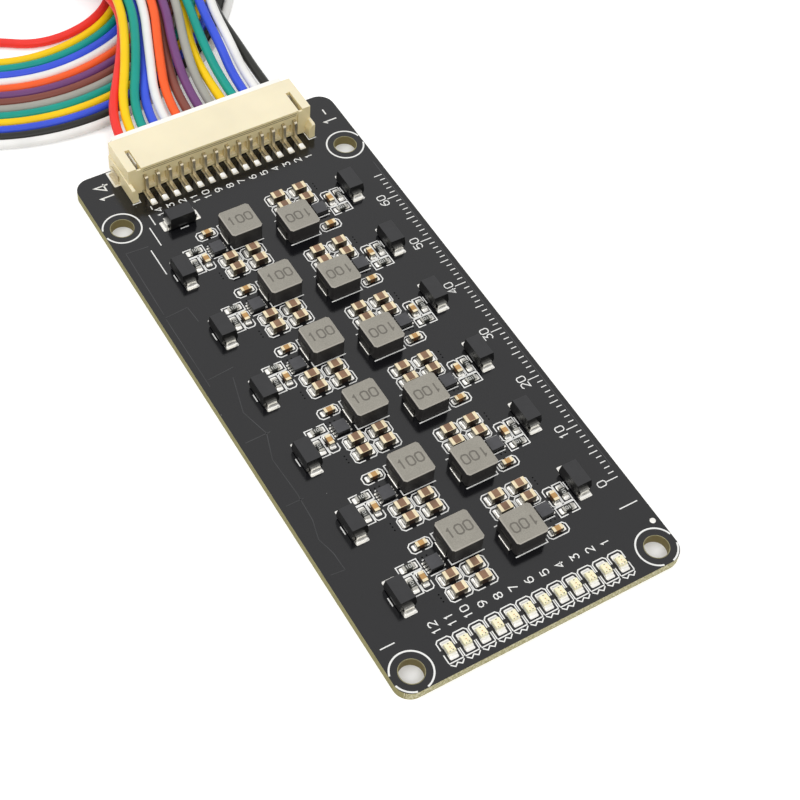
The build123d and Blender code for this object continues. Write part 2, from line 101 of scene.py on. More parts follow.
class Builder:
    """Collects closed shapes in millimetres and turns them into one object in metres."""

    def __init__(self):
        self.points = []
        self.faces = []
        self.place = Matrix.Identity(4)

    def stand(self, x=0.0, y=0.0, turn=0.0, cell=None):
        """Sets where the next shapes go: a spot and turn, inside a cell where one is given."""
        spot = Matrix.Translation((x, y, 0)) @ Matrix.Rotation(math.radians(turn), 4, "Z")
        self.place = (cell or Matrix.Identity(4)) @ spot

    def add(self, points, faces):
        """Adds a closed shape at the present spot."""
        start = len(self.points)
        self.points += [self.place @ Vector(p) for p in points]
        self.faces += [[start + i for i in face] for face in faces]

    def prism(self, outline, low, high):
        """A closed block over an outline that runs counterclockwise."""
        n = len(outline)
        points = [(x, y, low) for x, y in outline] + [(x, y, high) for x, y in outline]
        faces = [list(range(n))[::-1], list(range(n, 2 * n))]
        faces += [[i, (i + 1) % n, n + (i + 1) % n, n + i] for i in range(n)]
        self.add(points, faces)

    def slab(self, x0, y0, x1, y1, low, high, corner=0.0):
        """A rectangular pad, with cut corners where a corner size is given."""
        c = corner
        if c:
            outline = [(x0 + c, y0), (x1 - c, y0), (x1, y0 + c), (x1, y1 - c),
                       (x1 - c, y1), (x0 + c, y1), (x0, y1 - c), (x0, y0 + c)]
        else:
            outline = [(x0, y0), (x1, y0), (x1, y1), (x0, y1)]
        self.prism(outline, low, high)

    def ribbon(self, line, width, low, high):
        """A flat printed line of even width with mitred corners."""
        line = [Vector(p) for p in line]
        last = len(line) - 1
        points = []
        for i, here in enumerate(line):
            one = (here - line[i - 1] if i else line[1] - here).normalized()
            two = (line[i + 1] - here).normalized() if i < last else one
            normal = (one.orthogonal() + two.orthogonal()).normalized()
            reach = width / 2 / max(0.4, normal.dot(one.orthogonal()))
            left, right = here + normal * reach, here - normal * reach
            points += [(*right, low), (*left, low), (*left, high), (*right, high)]
        faces = []
        for a in range(0, 4 * last, 4):
            for j in range(4):
                k = (j + 1) % 4
                faces.append([a + j, a + k, a + 4 + k, a + 4 + j])
        end = 4 * last
        faces += [[3, 2, 1, 0], [end, end + 1, end + 2, end + 3]]
        self.add(points, faces)

    def ring(self, x, y, radius, width, low, high, steps=72):
        """A flat circle, left open where it would run past the board's edge."""
        runs = [[]]
        margin = width / 2 + 0.005
        for i in range(steps + 1):
            a = 2 * math.pi * i / steps
            px, py = x + radius * math.cos(a), y + radius * math.sin(a)
            if abs(px) < HALF_BOARD_WIDTH - margin and abs(py) < HALF_BOARD_LENGTH - margin:
                runs[-1].append((px, py))
            elif runs[-1]:
                runs.append([])
        for run in runs:
            if len(run) > 1:
                self.ribbon(run, width, low, high)

    def fillet(self, x0, x1, half_low, half_high, height, low, steps=5):
        """Solder that climbs from a pad's outer edge at x1 to a metal end at x0, hollow in profile."""
        points = []
        for i in range(steps + 1):
            t = i / steps
            x = x1 + (x0 - x1) * t
            rise = low + 0.03 + (height - 0.03) * t ** 2.2
            half = half_low + (half_high - half_low) * t
            for j in range(5):
                v = (j - 2) / 2
                crown = 1 - 0.35 * abs(v) ** 3 * (0.4 + 0.6 * t)
                points.append((x, v * half, low + (rise - low) * crown))
        top = len(points)
        points += [(p[0], p[1], low) for p in points]
        faces = []
        for i in range(steps):
            for a in range(5 * i, 5 * i + 4):
                faces.append([a, a + 1, a + 6, a + 5])
                faces.append([top + a + 5, top + a + 6, top + a + 1, top + a])
            a, b = 5 * i, 5 * i + 4
            faces.append([a, a + 5, top + a + 5, top + a])
            faces.append([b + 5, b, top + b, top + b + 5])
        for a in range(4):
            b = 5 * steps + a
            faces.append([a + 1, a, top + a, top + a + 1])
            faces.append([b, b + 1, top + b + 1, top + b])
        self.add(points, faces)

    def dome(self, x, y, radius, height, low, sides=16, rows=3):
        """A low bead of solder, round in plan."""
        points = []
        for r in range(rows):
            a = math.pi / 2 * r / rows
            for i in range(sides):
                b = 2 * math.pi * i / sides
                points.append((x + radius * math.cos(a) * math.cos(b),
                               y + radius * math.cos(a) * math.sin(b), low + height * math.sin(a)))
        points.append((x, y, low + height))
        faces = [list(range(sides))[::-1]]
        for r in range(rows - 1):
            for i in range(sides):
                k = (i + 1) % sides
                faces.append([r * sides + i, r * sides + k, (r + 1) * sides + k, (r + 1) * sides + i])
        top = len(points) - 1
        base = (rows - 1) * sides
        faces += [[base + i, base + (i + 1) % sides, top] for i in range(sides)]
        self.add(points, faces)

    def finish(self, name, material):
        """Makes the object, gives it its finish and lets it ride on the board."""
        mesh = bpy.data.meshes.new(name)
        mesh.from_pydata([p * MM for p in self.points], [], self.faces)
        mesh.validate()
        mesh.update()
        piece = bpy.data.objects.new(name, mesh)
        bpy.context.scene.collection.objects.link(piece)
        mesh.materials.append(material)
        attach(piece, "root")


def cells():
    """Place of each balancing cell, the left and the turned right one in turn, from the header down."""
    places = []
    for row in range(CELL_ROWS):
        centre = Matrix.Translation((LAYOUT_X, FIRST_CELL_Y - CELL_PITCH * row, 0))
        places += [centre, centre @ Matrix.Rotation(math.pi, 4, "Z")]
    return places


# ---- materials ----


def per_mm(size):
    """Texture scale that gives a pattern of this size in millimetres."""
    return 1 / (size * MM)


def add_node(tree, kind, settings=None, inputs=None):
    """Adds a node, sets it, and gives each input its value or link."""
    node = tree.nodes.new(kind)
    for name, value in (settings or {}).items():
        setattr(node, name, value)
    for name, value in (inputs or {}).items():
        if isinstance(value, bpy.types.NodeSocket):
            tree.links.new(value, node.inputs[name])
        else:
            node.inputs[name].default_value = value
    return node


def new_material(name):
    """An empty material with its output, its shader and the piece's own coordinates in metres."""
    material = bpy.data.materials.new(name)
    material.use_nodes = True
    tree = material.node_tree
    tree.nodes.clear()
    output = add_node(tree, "ShaderNodeOutputMaterial")
    shader = add_node(tree, "ShaderNodeBsdfPrincipled")
    tree.links.new(shader.outputs["BSDF"], output.inputs["Surface"])
    place = add_node(tree, "ShaderNodeTexCoord").outputs["Object"]
    return material, tree, shader, place


def grained(name, colour, roughness, metallic=0.0, ior=1.5, grain=0.3, depth=0.004, patch=3.0,
            tint=0.08, speckle=0.0, side=None, rim=None, sunk=None, specular=0.5):
    """A surface whose colour drifts over patches and whose grain shows in gloss and relief.

    grain and patch are sizes in mm, depth is the relief in mm and tint the share by which patches differ.
    Moulded, pressed and plated surfaces have a real grain of 0.01 to 0.05 mm, too fine to show here, so
    grain is drawn coarser. side is a colour painted on the upright faces and rim one on the sloped edge
    between them and the top: painted shade and painted highlight, set by which way a face points. sunk is
    the share of light that sinks in, how far each colour goes and a reach in mm."""
    material, tree, shader, place = new_material(name)
    fine = add_node(tree, "ShaderNodeTexNoise", inputs={
        "Vector": place, "Scale": per_mm(grain), "Detail": 3.0})
    broad = add_node(tree, "ShaderNodeTexNoise", inputs={
        "Vector": place, "Scale": per_mm(patch), "Detail": 2.0})
    base = srgb(colour)
    darker = tuple(c * (1 - tint) for c in base)
    lighter = tuple(min(1.0, c * (1 + tint)) for c in base)
    drift = add_node(tree, "ShaderNodeMapRange", inputs={
        "Value": broad.outputs["Fac"], "From Min": 0.3, "From Max": 0.7})
    mix = add_node(tree, "ShaderNodeMix", {"data_type": "RGBA"}, {
        "Factor": drift.outputs["Result"], 6: (*darker, 1), 7: (*lighter, 1)})
    surface_colour = mix.outputs[2]
    if speckle:
        dots = add_node(tree, "ShaderNodeMapRange", inputs={
            "Value": fine.outputs["Fac"], "From Min": 0.35, "From Max": 0.65,
            "To Min": 1 - speckle, "To Max": 1 + speckle})
        surface_colour = add_node(tree, "ShaderNodeVectorMath", {"operation": "SCALE"}, {
            0: surface_colour, "Scale": dots.outputs["Result"]}).outputs["Vector"]
    # Painted shade and highlight: upright faces take the side colour, sloped faces the rim colour
    if side:
        facing = add_node(tree, "ShaderNodeSeparateXYZ", inputs={
            "Vector": add_node(tree, "ShaderNodeNewGeometry").outputs["True Normal"]})
        for lowest, shade in ((0.9, rim), (0.4, side)):
            above = add_node(tree, "ShaderNodeMath", {"operation": "GREATER_THAN"}, {
                0: facing.outputs["Z"], 1: lowest})
            surface_colour = add_node(tree, "ShaderNodeMix", {"data_type": "RGBA"}, {
                "Factor": above.outputs[0], 6: (*srgb(shade), 1), 7: surface_colour}).outputs[2]
    tree.links.new(surface_colour, shader.inputs["Base Color"])
    gloss = add_node(tree, "ShaderNodeMapRange", inputs={
        "Value": fine.outputs["Fac"], "From Min": 0.3, "From Max": 0.7,
        "To Min": roughness * 0.9, "To Max": min(1.0, roughness * 1.1)})
    tree.links.new(gloss.outputs["Result"], shader.inputs["Roughness"])
    relief = add_node(tree, "ShaderNodeBump", inputs={
        "Strength": 1.0, "Distance": depth * MM, "Height": fine.outputs["Fac"]})
    tree.links.new(relief.outputs["Normal"], shader.inputs["Normal"])
    shader.inputs["Metallic"].default_value = metallic
    if not metallic:
        shader.inputs["IOR"].default_value = ior
    shader.inputs["Specular IOR Level"].default_value = specular
    if sunk:
        share, colours, reach = sunk
        shader.inputs["Subsurface Weight"].default_value = share
        shader.inputs["Subsurface Radius"].default_value = colours
        shader.inputs["Subsurface Scale"].default_value = reach * MM
    return material


def beyond_outline(tree, place, margin):
    """1 from a margin in mm inside the board's outline outward, else 0."""
    split = add_node(tree, "ShaderNodeSeparateXYZ", inputs={"Vector": place})
    beyond = []
    for axis, half in (("X", HALF_BOARD_WIDTH), ("Y", HALF_BOARD_LENGTH)):
        away = add_node(tree, "ShaderNodeMath", {"operation": "ABSOLUTE"}, {0: split.outputs[axis]})
        beyond.append(add_node(tree, "ShaderNodeMath", {"operation": "GREATER_THAN"}, {
            0: away.outputs[0], 1: (half - margin) * MM}).outputs[0])
    return add_node(tree, "ShaderNodeMath", {"operation": "MAXIMUM"}, {0: beyond[0], 1: beyond[1]}).outputs[0]


def board_laminate():
    """Glass epoxy board: glossy black mask on its faces, bare tan laminate on its edges and hole walls."""
    material, tree, shader, place = new_material("glass_epoxy_with_black_solder_mask")
    mask = tuple(bpy.context.scene.balancer_board.mask_colour)
    facing = add_node(tree, "ShaderNodeSeparateXYZ", inputs={
        "Vector": add_node(tree, "ShaderNodeNewGeometry").outputs["True Normal"]})
    upward = add_node(tree, "ShaderNodeMath", {"operation": "ABSOLUTE"}, {0: facing.outputs["Z"]})
    flat = add_node(tree, "ShaderNodeMath", {"operation": "GREATER_THAN"}, {0: upward.outputs[0], 1: 0.5})
    # Glass cloth layers show as thin bands about 0.25 mm apart in the cut edge
    layers = add_node(tree, "ShaderNodeTexNoise", inputs={
        "Vector": add_node(tree, "ShaderNodeMapping", inputs={
            "Vector": place, "Scale": (0.12, 0.12, 1.0)}).outputs["Vector"],
        "Scale": per_mm(0.25), "Detail": 2.0})
    routed_and_shaded = add_node(tree, "ShaderNodeMix", {"data_type": "RGBA"}, {
        "Factor": layers.outputs["Fac"], 6: (*srgb("#6B6638"), 1), 7: (*srgb("#A8A06A"), 1)})
    # The ends were scored and snapped, so broken glass fibres whiten them
    fibres = add_node(tree, "ShaderNodeTexNoise", inputs={
        "Vector": place, "Scale": per_mm(0.35), "Detail": 4.0, "Roughness": 0.7})
    broken = add_node(tree, "ShaderNodeMapRange", inputs={
        "Value": fibres.outputs["Fac"], "From Min": 0.4, "From Max": 0.65})
    snapped = add_node(tree, "ShaderNodeMix", {"data_type": "RGBA"}, {
        "Factor": broken.outputs["Result"], 6: (*srgb("#99925E"), 1), 7: (*srgb("#DAD4B4"), 1)})
    # The long side edges take the darker colour, partly the routed cut and partly painted shade; the ends
    # take the paler one
    endward = add_node(tree, "ShaderNodeMath", {"operation": "ABSOLUTE"}, {0: facing.outputs["Y"]})
    at_end = add_node(tree, "ShaderNodeMath", {"operation": "GREATER_THAN"}, {0: endward.outputs[0], 1: 0.7})
    edge = add_node(tree, "ShaderNodeMix", {"data_type": "RGBA"}, {
        "Factor": at_end.outputs[0], 6: routed_and_shaded.outputs[2], 7: snapped.outputs[2]})
    # Behind the outline lie the hole walls, browner than the edge
    cut = add_node(tree, "ShaderNodeMix", {"data_type": "RGBA"}, {
        "Factor": beyond_outline(tree, place, 0.7), 6: (*srgb("#766A3E"), 1), 7: edge.outputs[2]})
    # Tracks under the mask lift it a little, in blocks a few millimetres wide
    tracks = add_node(tree, "ShaderNodeTexBrick", {"offset": 0.37, "squash": 1.6, "squash_frequency": 3}, {
        "Vector": place, "Scale": 1.0, "Mortar Size": 0.12 * MM, "Mortar Smooth": 0.3,
        "Brick Width": 5.2 * MM, "Row Height": 2.1 * MM,
        "Color1": (1, 1, 1, 1), "Color2": (0.8, 0.8, 0.8, 1), "Mortar": (0, 0, 0, 1)})
    # The mask's own ripple, half a millimetre wide, keeps its mirror from being perfect
    fine = add_node(tree, "ShaderNodeTexNoise", inputs={"Vector": place, "Scale": per_mm(0.5), "Detail": 3.0})
    mask_mix = add_node(tree, "ShaderNodeMix", {"data_type": "RGBA"}, {
        "Factor": fine.outputs["Fac"],
        6: (*[c * 0.85 for c in mask], 1), 7: (*[c * 1.15 for c in mask], 1)})
    # Sparse specks of dust lie on the mask, drawn 0.15 mm across, because real ones are too fine to show
    cells_of_dust = add_node(tree, "ShaderNodeTexVoronoi", inputs={"Vector": place, "Scale": per_mm(2.2)})
    near = add_node(tree, "ShaderNodeMath", {"operation": "LESS_THAN"}, {
        0: cells_of_dust.outputs["Distance"], 1: 0.035})
    chosen = add_node(tree, "ShaderNodeMath", {"operation": "GREATER_THAN"}, {
        0: add_node(tree, "ShaderNodeSeparateXYZ", inputs={
            "Vector": cells_of_dust.outputs["Color"]}).outputs["X"], 1: 0.82})
    speck = add_node(tree, "ShaderNodeMath", {"operation": "MULTIPLY"}, {
        0: near.outputs[0], 1: chosen.outputs[0]})
    dusty = add_node(tree, "ShaderNodeMix", {"data_type": "RGBA"}, {
        "Factor": speck.outputs[0], 6: mask_mix.outputs[2], 7: (*srgb("#8E8E8C"), 1)})
    surface = add_node(tree, "ShaderNodeMix", {"data_type": "RGBA"}, {
        "Factor": flat.outputs[0], 6: cut.outputs[2], 7: dusty.outputs[2]})
    tree.links.new(surface.outputs[2], shader.inputs["Base Color"])
    gloss = add_node(tree, "ShaderNodeMapRange", inputs={
        "Value": flat.outputs[0], "To Min": 0.75, "To Max": 0.15})
    tree.links.new(gloss.outputs["Result"], shader.inputs["Roughness"])
    height = add_node(tree, "ShaderNodeMath", {"operation": "MULTIPLY_ADD"}, {
        0: tracks.outputs["Fac"], 1: -0.5, 2: fine.outputs["Fac"]})
    relief = add_node(tree, "ShaderNodeBump", inputs={
        "Strength": 0.5, "Distance": 0.004 * MM, "Height": height.outputs[0]})
    tree.links.new(relief.outputs["Normal"], shader.inputs["Normal"])
    shader.inputs["IOR"].default_value = 1.52
    return material


def dress(material, *names):
    """Gives CAD nodes their finish."""
    for name in names:
        mesh = nodes[name].data
        mesh.materials.clear()
        mesh.materials.append(material)


def seen_background(tree):
    """1 for what the camera sees directly, in gloss or through glass, else 0."""
    path = add_node(tree, "ShaderNodeLightPath")
    one = add_node(tree, "ShaderNodeMath", {"operation": "MAXIMUM"}, {
        0: path.outputs["Is Camera Ray"], 1: path.outputs["Is Glossy Ray"]})
    return add_node(tree, "ShaderNodeMath", {"operation": "MAXIMUM"}, {
        0: one.outputs[0], 1: path.outputs["Is Transmission Ray"]}).outputs[0]


# ---- settings ----


def length(name, description, size):
    """A length setting, with its default in millimetres."""
    return FloatProperty(name=name, description=description, unit="LENGTH", default=size * MM, precision=6)


class BoardSettings(bpy.types.PropertyGroup):
    """Sizes and colours of the board's print and solder."""

    mask_colour: FloatVectorProperty(
        name="Solder mask", description="Colour of the mask on the board's faces",
        subtype="COLOR", size=3, min=0, max=1, default=srgb("#0D0D10"))
    ink_width: length("Print width", "Width of a printed line", 0.17)
    ink_height: length("Print height", "How far the print stands off the mask", 0.02)
    solder_height: length("Pad height", "Thickness of a tinned pad", 0.05)


class HarnessSettings(bpy.types.PropertyGroup):
    """Size of the harness wires."""

    wire_diameter: length("Wire diameter", "Outside diameter of a wire's jacket", 1.5)


class StageSettings(bpy.types.PropertyGroup):
    """Light and floor of the studio."""

    floor_colour: FloatVectorProperty(
        name="Floor", description="Colour of the paper floor", subtype="COLOR", size=3, min=0, max=1,
        default=srgb("#F4F4F3"))
    sky_strength: FloatProperty(
        name="Sky light", description="Strength of the light from overhead", default=1.24, min=0)
    horizon_strength: FloatProperty(
        name="Horizon light", description="Strength of the light from the sides", default=0.12, min=0)
    key_power: FloatProperty(
        name="Key light", description="Power of the large lamp above the far left", unit="POWER",
        default=1.4, min=0)
    fill_power: FloatProperty(
        name="Fill light", description="Power of the lamp at the near side", unit="POWER", default=0.8, min=0)


# ---- printed marks ----

# Numerals as pen strokes on a grid four wide and six high
NUMERALS = {
    "0": [[(1, 0), (0, 1), (0, 5), (1, 6), (3, 6), (4, 5), (4, 1), (3, 0), (1, 0)]],
    "1": [[(0.8, 4.8), (2, 6), (2, 0)]],
    "2": [[(0, 5), (1, 6), (3, 6), (4, 5), (4, 4), (0, 0), (4, 0)]],
    "3": [[(0, 6), (4, 6), (2, 3.6), (3.2, 3.4), (4, 2.4), (4, 1), (3, 0), (1, 0), (0, 1)]],
    "4": [[(3, 0), (3, 6), (0, 1.8), (4, 1.8)]],
    "5": [[(4, 6), (0.4, 6), (0, 3.2), (1, 3.8), (3, 3.8), (4, 2.8), (4, 1), (3, 0), (1, 0), (0, 1)]],
    "6": [[(3.6, 6), (2, 6), (0, 3.6), (0, 1), (1, 0), (3, 0), (4, 1), (4, 2.5), (3, 3.5), (1, 3.5),
           (0, 2.7)]],
    "7": [[(0, 6), (4, 6), (1.4, 0)]],
    "8": [[(1, 3.2), (0, 4), (0, 5), (1, 6), (3, 6), (4, 5), (4, 4), (3, 3.2), (1, 3.2)],
          [(1, 2.9), (0, 2), (0, 1), (1, 0), (3, 0), (4, 1), (4, 2), (3, 2.9)]],
    "9": [[(0.4, 0), (2, 0), (4, 2.4), (4, 5), (3, 6), (1, 6), (0, 5), (0, 3.5), (1, 2.5), (3, 2.5),
           (4, 3.3)]],
    "-": [[(0.4, 3), (3.6, 3)]],
}


def number(builder, text, x, y, height, turn, width, low, high, cell=None):
    """Prints plain numerals centred at a spot, reading in the direction of the turn."""
    builder.stand(x, y, turn, cell)
    unit = height / 6
    advance = 5.6 * unit
    start = -(len(text) * advance - 1.6 * unit) / 2
    for i, sign in enumerate(text):
        for stroke in NUMERALS[sign]:
            line = [(start + i * advance + px * unit, (py - 3) * unit) for px, py in stroke]
            builder.ribbon(line, width, low, high)


class BALANCER_OT_printed_marks(bpy.types.Operator):
    """Print the outlines, rings and plain numbers in white ink on the board"""

    bl_idname = "balancer.printed_marks"
    bl_label = "Printed marks"

    def execute(self, context):
        settings = context.scene.balancer_board
        width = settings.ink_width / MM
        low = BOARD_TOP
        high = BOARD_TOP + settings.ink_height / MM
        ink = Builder()
        for hole in HOLES:
            ink.ring(*hole, 2.95, 0.25, low, high)

        def line(*points):
            ink.ribbon(points, width, low, high)

        for place in cells():
            ink.stand(cell=place)
            # Supply capacitor, open at its lower middle
            line((-8.6, 2.6), (-7.6, 2.6), (-7.2, 3.0), (-7.2, 3.95), (-7.6, 4.35), (-10.1, 4.35),
                 (-10.5, 3.95), (-10.5, 3.0), (-10.1, 2.6), (-9.1, 2.6))
            # Upper resistor, open at its upper middle
            line((-11.7, 2.0), (-10.5, 2.0), (-10.5, 0.38), (-13.65, 0.38), (-13.65, 2.0), (-12.3, 2.0))
            line((-13.65, 0.2), (-12.2, 0.2), (-12.2, -3.0), (-13.65, -3.0))
            line((-13.65, -3.0), (-13.65, -1.9))
            line((-13.65, -1.0), (-13.65, 0.2))
            # Filter capacitor, open at both sides
            for side in (1, -1):
                line(*[(x, side * y - 1.4) for x, y in (
                    (-12.02, 0.35), (-12.02, 1.3), (-11.75, 1.6), (-10.75, 1.6), (-10.45, 1.3),
                    (-10.45, 0.35))])
            # Large capacitors, each open at the middle of its long sides
            for left, right in ((-9.75, -6.25), (-6.05, -2.3)):
                for bottom, top in ((-6.2, -3.95), (-3.8, -1.6)):
                    for end, inward in ((left, 1), (right, -1)):
                        gap, bend = (left + right) / 2 - 0.35 * inward, end + 0.4 * inward
                        line((gap, bottom), (bend, bottom), (end, bottom + 0.4), (end, top - 0.4),
                             (bend, top), (gap, top))
            # Controller and inductor
            line((-10.1, -1.3), (-7.7, -1.3))
            line((-9.9, 1.33), (-7.7, 1.33))
            line((-1.5, -1.15), (-6.7, -1.15), (-6.7, -0.2))
            line((-6.7, 3.1), (-6.7, 4.35), (-1.5, 4.35))
            # Diode, a bar at each side
            line((-16.85, -2.8), (-16.85, -1.4))
            line((-13.95, -2.8), (-13.95, -1.4))
        ink.stand()
        # Round the feet of the header's legs
        for side in (-1, 1):
            corner = ((14.8, 44.0), (14.8, 41.9), (16.1, 41.9))
            line(*[(LAYOUT_X + side * x, y) for x, y in corner])
        # Single marks beside the header and along the edges
        for points in (
            ((-14.75, 36.6), (-14.75, 38.9)), ((-15.8, 32.5), (-15.8, 36.5)),
            ((-13.75, 39.7), (-13.75, 40.4)), ((-11.9, 37.3), (-11.9, 38.3)),
            ((18.5, -39.6), (21.5, -39.6)), ((-21.5, -42.4), (-19.3, -42.4)),
            ((-17.6, 27.0), (-17.6, 32.3)), ((-11.7, 34.2), (-10.3, 34.2)),
            ((-11.7, 37.15), (-10.3, 37.15)),
        ):
            line(*points)
        # Lights: a box open at both sides and a notched foot
        for i in range(LIGHT_COUNT):
            ink.stand(light_x(i), -HALF_BOARD_LENGTH)
            for side in (-1, 1):
                x = 1.1 * side
                line((x, 3.65), (x, 4.8), (0.75 * side, 5.15), (0.0, 5.15))
                line((x, 2.95), (x, 1.62))
            line((-1.1, 1.52), (1.1, 1.52))
            line((-1.05, 1.32), (-0.52, 0.85), (0.0, 1.25), (0.52, 0.85), (1.05, 1.32))
            number(ink, str(LIGHT_COUNT - i), light_x(i), -43.0, 1.15, 90, 0.16, low, high)
        # Pins, numbered from the right
        for i in range(PIN_COUNT):
            number(ink, str(PIN_COUNT - i), pin_x(i), 38.75, 1.05, 90, 0.15, low, high)
        # A plain millimetre scale along the right side
        ink.stand()
        for step in range(66):
            reach = (0.9, 1.4, 1.9)[(step % 5 == 0) + (step % 10 == 0)]
            ink.ribbon([(21.4, step - 35.0), (21.4 - reach, step - 35.0)], 0.14, low, high)
        for step in range(7):
            number(ink, str(10 * step), 18.7, 10 * step - 35.0, 1.3, 90, 0.16, low, high)
        number(ink, "14", -18.7, 46.2, 2.2, 90, 0.24, low, high)
        number(ink, "1-", 20.1, 45.2, 2.2, 90, 0.24, low, high)
        # Epoxy ink through a screen: matt off-white that never shines like the mask round it
        shade = grained("screen_print_epoxy_ink", "#E9E9E6", 0.6, grain=0.12, patch=1.5, tint=0.05)
        ink.finish("printed_marks", shade)
        return {"FINISHED"}


class BALANCER_OT_solder(bpy.types.Operator):
    """Lay tinned pads on the board and draw solder up to each metal end"""

    bl_idname = "balancer.solder"
    bl_label = "Pads and solder"

    def execute(self, context):
        pad = context.scene.balancer_board.solder_height / MM
        low = BOARD_TOP
        tin = Builder()

        def two_pads(x, y, turn, inner, outer, half, end, height, cell, end_half):
            """A pad at each end of a part, and the solder that climbs its metal end to a height.

            inner, outer and half are the pad's reach and half width, end and end_half the metal end's."""
            for side in (0, 180):
                tin.stand(x, y, turn + side, cell)
                tin.slab(inner, -half, outer, half, low, low + pad, 0.12)
                tin.fillet(end + 0.002, min(outer - 0.05, end + 0.3), half - 0.08, end_half, height,
                           low + pad)

        for place in cells():
            for x, y in LARGE_CAPACITORS:
                two_pads(x, y, 0, 0.45, 1.55, 0.76, 1.0, 0.5, place, 0.62)
            for spots, height in ((SMALL_CAPACITORS, 0.5), (RESISTORS, 0.3)):
                for x, y, turn in spots:
                    two_pads(x, y, turn, 0.35, 1.3, 0.48, 0.8, height, place, 0.38)
            two_pads(-15.4, -2.05, 90, 1.0, 3.1, 1.0, 2.502, 0.55, place, 0.75)
            two_pads(-4.1, 1.6, 0, 1.3, 2.86, 1.4, 2.702, 0.16, place, 1.24)
            # Controller: four short pads at each side
            for side in (-1, 1):
                for j in range(4):
                    tin.stand(-8.8, 0.1 + (j - 1.5) * 0.5, 0, place)
                    near, far = sorted((side * 0.98, side * 1.42))
                    tin.slab(near, -0.15, far, 0.15, low, low + 0.03)
        two_pads(-11.05, 35.7, 0, 1.0, 3.1, 1.0, 2.502, 0.55, None, 0.75)
        for i in range(LIGHT_COUNT):
            two_pads(light_x(i), LIGHT_Y, 90, 0.4, 1.45, 0.68, 1.0, 0.28, None, 0.55)
        # Header pins and tabs
        for i in range(PIN_COUNT):
            tin.stand(pin_x(i))
            tin.slab(-0.5, 40.45, 0.5, 43.9, low, low + pad, 0.1)
            for turn in (180, 0):
                tin.stand(pin_x(i), 42.2, turn)
                tin.fillet(0.252, 0.45, 1.0, 0.8, 0.3, low + pad)
            tin.stand(pin_x(i), 41.4, -90)
            tin.fillet(0.01, 0.92, 0.48, 0.36, 0.36, low + pad)
        for side in (-1, 1):
            tin.stand(LAYOUT_X + side * 16.3, 48.0)
            tin.slab(-0.7, -1.6, 0.7, 1.8, low, low + pad, 0.1)
        tin.stand()
        tin.dome(21.5, -43.3, 0.45, 0.12, low)
        # Solder melted in an oven: bright and slightly uneven, so that each fillet catches one light
        shade = grained("tin_lead_solder", "#F6F4EE", 0.3, metallic=1.0, depth=0.006, patch=1.2, tint=0.04)
        tin.finish("pads_and_solder", shade)
        return {"FINISHED"}


class BALANCER_OT_board(bpy.types.Operator):
    """Finish the glass epoxy board, with the copper and the holes that show through its mask"""

    bl_idname = "balancer.board"
    bl_label = "Board"

    def execute(self, context):
        dress(board_laminate(), "circuit_board")
        low = BOARD_TOP
        high = BOARD_TOP + 0.012
        copper = Builder()
        # Rims of the copper areas and one long track on the left side
        for points in (
            ((-21.2, 33.5), (-21.4, 20.2)), ((-21.1, 33.4), (-17.6, 33.2)),
            ((-21.5, 19.6), (-17.75, 19.9)), ((-17.75, 19.9), (-17.5, 16.8)),
            ((-21.5, 19.6), (-21.45, 5.4)), ((-21.1, 6.6), (-16.9, 7.0)),
            ((-21.6, -5.6), (-17.6, -5.5)), ((-21.6, -17.4), (-18.9, -17.4)),
            ((-21.6, -29.7), (-19.5, -29.9)),
            ((-17.8, 5.4), (-19.4, -0.8), (-18.2, -5.5), (-19.6, -9.8), (-19.3, -16.2), (-19.5, -21.0),
             (-20.3, -24.1), (-19.6, -26.9), (-19.5, -29.9)),
            ((21.6, 33.0), (21.7, -33.0)),
        ):
            copper.ribbon(points, 0.13, low, high)
        # Mask thin over the copper's edge: a faint broken grey line, partly its own tone and partly a painted
        # highlight
        rim_tone_and_highlight = grained("mask_over_copper_rim_and_highlight", "#333335", 0.3, patch=4.0, tint=0.35)
        copper.finish("copper_rims", rim_tone_and_highlight)
        # Holes closed by the mask: three beside the large capacitors and a few above the controller
        vias = Builder()
        for place in cells():
            for x, y in ((-10.65, -4.2), (-10.65, -4.8), (-10.65, -5.4),
                         (-10.3, 1.75), (-9.6, 1.75), (-8.9, 1.75)):
                vias.stand(x, y, 0, place)
                vias.dome(0, 0, 0.13, 0.01, low, sides=10, rows=1)
        # Mask that has sunk into a hole: a dull black dot in the glossy face
        dark = grained("mask_sunk_in_hole", "#050506", 0.6,
                       grain=0.2, depth=0.002, patch=1.0, specular=0.08)
        vias.finish("closed_holes", dark)
        # Round each mounting hole the drill broke the mask away: a dull grey-green broken ring
        rims = Builder()
        for hole in HOLES:
            rims.ring(*hole, HOLE_RADIUS + 0.055, 0.1, low, low + 0.008)
        bare = grained("glass_epoxy_bare_rim", "#8F8862", 0.6, grain=0.15, patch=0.8, tint=0.3)
        rims.finish("bare_hole_rims", bare)
        return {"FINISHED"}


